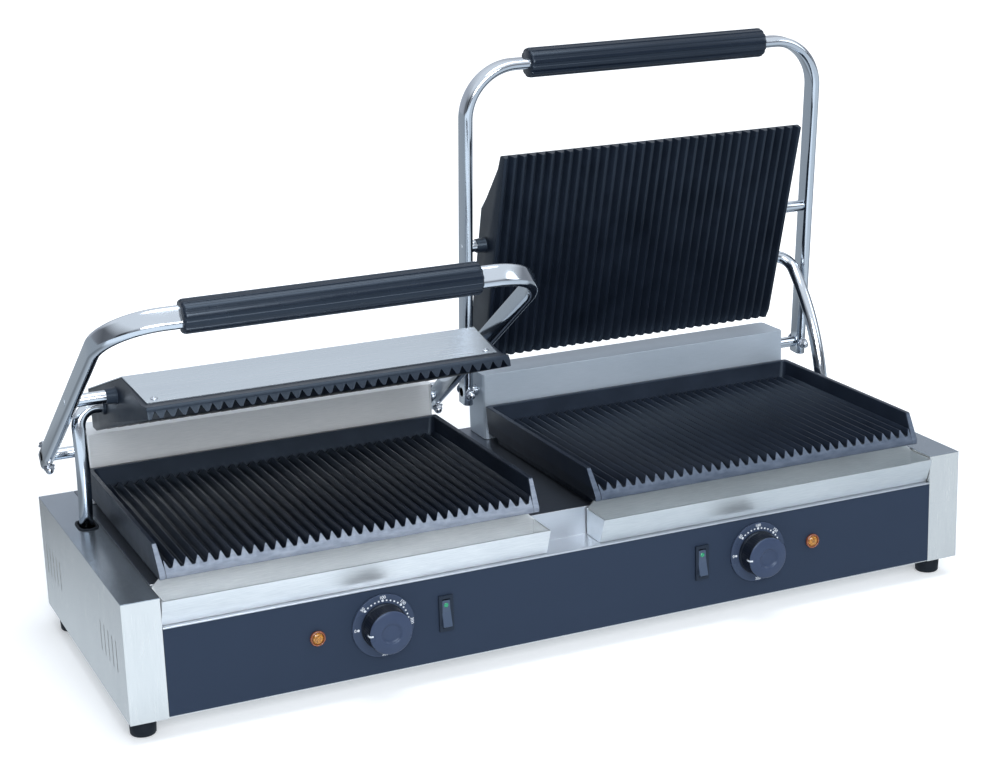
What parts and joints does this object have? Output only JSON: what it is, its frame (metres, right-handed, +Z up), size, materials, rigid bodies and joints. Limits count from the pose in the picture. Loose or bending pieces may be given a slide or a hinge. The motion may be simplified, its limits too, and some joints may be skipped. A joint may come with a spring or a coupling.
{
  "type": "double contact grill",
  "caption": "Countertop contact grill: ribbed cast plates side by side under sprung lids with bow handles, over pull-out drip trays and a control panel.",
  "frame": {"origin": "middle of the bounding box on the table surface, under the feet", "axes": "+X to the right seen from the front, +Y to the back, +Z up"},
  "size_m": [0.82, 0.3456, 0.5128],
  "materials": {
    "housing_steel": "brushed stainless steel",
    "deck_steel": "brushed stainless steel, heat-dulled",
    "tray_steel": "brushed stainless steel",
    "cover_steel": "brushed stainless steel",
    "panel_coating": "dark satin coating",
    "cast_iron": "seasoned cast iron",
    "element_steel": "oxidised element sheath",
    "zinc_steel": "zinc-plated steel",
    "chrome": "polished chrome plate",
    "conduit_chrome": "polished chrome plate",
    "foot_rubber": "black rubber",
    "grommet_rubber": "black rubber",
    "black_plastic": "black moulded plastic",
    "knob_black": "black moulded plastic",
    "rocker_black": "black glossy plastic",
    "dial_black": "black printed dial plate",
    "grip_plastic": "dark heat-proof plastic",
    "amber_lens": "clear amber plastic"
  },
  "bodies": {
    "base": {"bottom_plate": "housing_steel", "rear_panel": "housing_steel", "deck": "deck_steel", "front_panel": "panel_coating", "foot_front_left": "foot_rubber", "foot_front_right": "foot_rubber", "foot_rear_left": "foot_rubber", "foot_rear_right": "foot_rubber", "cable_gland": "black_plastic", "terminal_block": "black_plastic", "side_cover_left": "housing_steel", "lower_plate_left": "cast_iron", "lower_heater_left": "element_steel", "spring_cover_left": "housing_steel", "axle_bracket_left": "zinc_steel", "torsion_spring_left": "zinc_steel", "conduit_grommet_left": "grommet_rubber", "dial_left": "dial_black", "thermostat_left": "zinc_steel", "pilot_lamp_left": "amber_lens", "switch_body_left": "black_plastic", "side_cover_right": "housing_steel", "lower_plate_right": "cast_iron", "lower_heater_right": "element_steel", "spring_cover_right": "housing_steel", "axle_bracket_right": "zinc_steel", "torsion_spring_right": "zinc_steel", "conduit_grommet_right": "grommet_rubber", "dial_right": "dial_black", "thermostat_right": "zinc_steel", "pilot_lamp_right": "amber_lens", "switch_body_right": "black_plastic"},
    "tray_left": {"drip_tray_left": "tray_steel"},
    "lid_left": {"axle_left": "chrome", "handle_bow_left": "chrome", "grip_left": "grip_plastic", "axle_bolt_left_outer": "zinc_steel", "axle_bolt_left_inner": "zinc_steel", "pivot_pin_left_outer": "chrome", "pivot_pin_left_inner": "chrome"},
    "plate_left": {"upper_plate_left": "cast_iron", "top_cover_left": "cover_steel", "upper_heater_left": "element_steel"},
    "conduit_left": {"conduit_left": "conduit_chrome"},
    "knob_left": {"knob_left": "knob_black"},
    "rocker_left": {"rocker_left": "rocker_black"},
    "tray_right": {"drip_tray_right": "tray_steel"},
    "lid_right": {"axle_right": "chrome", "handle_bow_right": "chrome", "grip_right": "grip_plastic", "axle_bolt_right_outer": "zinc_steel", "axle_bolt_right_inner": "zinc_steel", "pivot_pin_right_outer": "chrome", "pivot_pin_right_inner": "chrome"},
    "plate_right": {"upper_plate_right": "cast_iron", "top_cover_right": "cover_steel", "upper_heater_right": "element_steel"},
    "conduit_right": {"conduit_right": "conduit_chrome"},
    "knob_right": {"knob_right": "knob_black"},
    "rocker_right": {"rocker_right": "rocker_black"}
  },
  "joints": [
    {"name": "lid_hinge_left", "type": "hinge", "parent": "base", "child": "lid_left", "pos_m": [-0.2105, 0.12873, 0.1735], "axis": [-1, 0, 0], "range_deg": [-32.4, 51.3]},
    {"name": "plate_pivot_left", "type": "hinge", "parent": "lid_left", "child": "plate_left", "pos_m": [-0.2, 0.00433, 0.25731], "axis": [-1, 0, 0], "range_deg": [-24.1, 15.4]},
    {"name": "conduit_swing_left", "type": "hinge", "parent": "plate_left", "child": "conduit_left", "pos_m": [-0.2, 0.05403, 0.23535], "axis": [-1, 0, 0], "range_deg": [-9.9, 15.38]},
    {"name": "lid_hinge_right", "type": "hinge", "parent": "base", "child": "lid_right", "pos_m": [0.2105, 0.12873, 0.1735], "axis": [-1, 0, 0], "range_deg": [-83.7, 0]},
    {"name": "plate_pivot_right", "type": "hinge", "parent": "lid_right", "child": "plate_right", "pos_m": [0.2, 0.11636, 0.32299], "axis": [-1, 0, 0], "range_deg": [-0.5, 10.8]},
    {"name": "conduit_swing_right", "type": "hinge", "parent": "plate_right", "child": "conduit_right", "pos_m": [0.2, 0.12603, 0.26952], "axis": [-1, 0, 0], "range_deg": [-0.5, 10.54]},
    {"name": "tray_slide_left", "type": "slide", "parent": "base", "child": "tray_left", "axis": [0, -1, 0], "range_m": [0, 0.06]},
    {"name": "knob_turn_left", "type": "hinge", "parent": "base", "child": "knob_left", "pos_m": [-0.1855, -0.15127, 0.065], "axis": [0, -1, 0], "range_deg": [0, 270]},
    {"name": "rocker_tilt_left", "type": "hinge", "parent": "base", "child": "rocker_left", "pos_m": [-0.127, -0.15127, 0.065], "axis": [1, 0, 0], "range_deg": [0, 18]},
    {"name": "tray_slide_right", "type": "slide", "parent": "base", "child": "tray_right", "axis": [0, -1, 0], "range_m": [0, 0.06]},
    {"name": "knob_turn_right", "type": "hinge", "parent": "base", "child": "knob_right", "pos_m": [0.1855, -0.15127, 0.065], "axis": [0, -1, 0], "range_deg": [0, 270]},
    {"name": "rocker_tilt_right", "type": "hinge", "parent": "base", "child": "rocker_right", "pos_m": [0.127, -0.15127, 0.065], "axis": [1, 0, 0], "range_deg": [0, 18]}
  ],
  "couplings": [
    {"joint": "plate_pivot_left", "follows": "lid_hinge_left", "ratio": -0.46},
    {"joint": "conduit_swing_left", "follows": "lid_hinge_left", "ratio": 0.29},
    {"joint": "plate_pivot_right", "follows": "lid_hinge_right", "ratio": -0.123},
    {"joint": "conduit_swing_right", "follows": "lid_hinge_right", "ratio": -0.12}
  ]
}
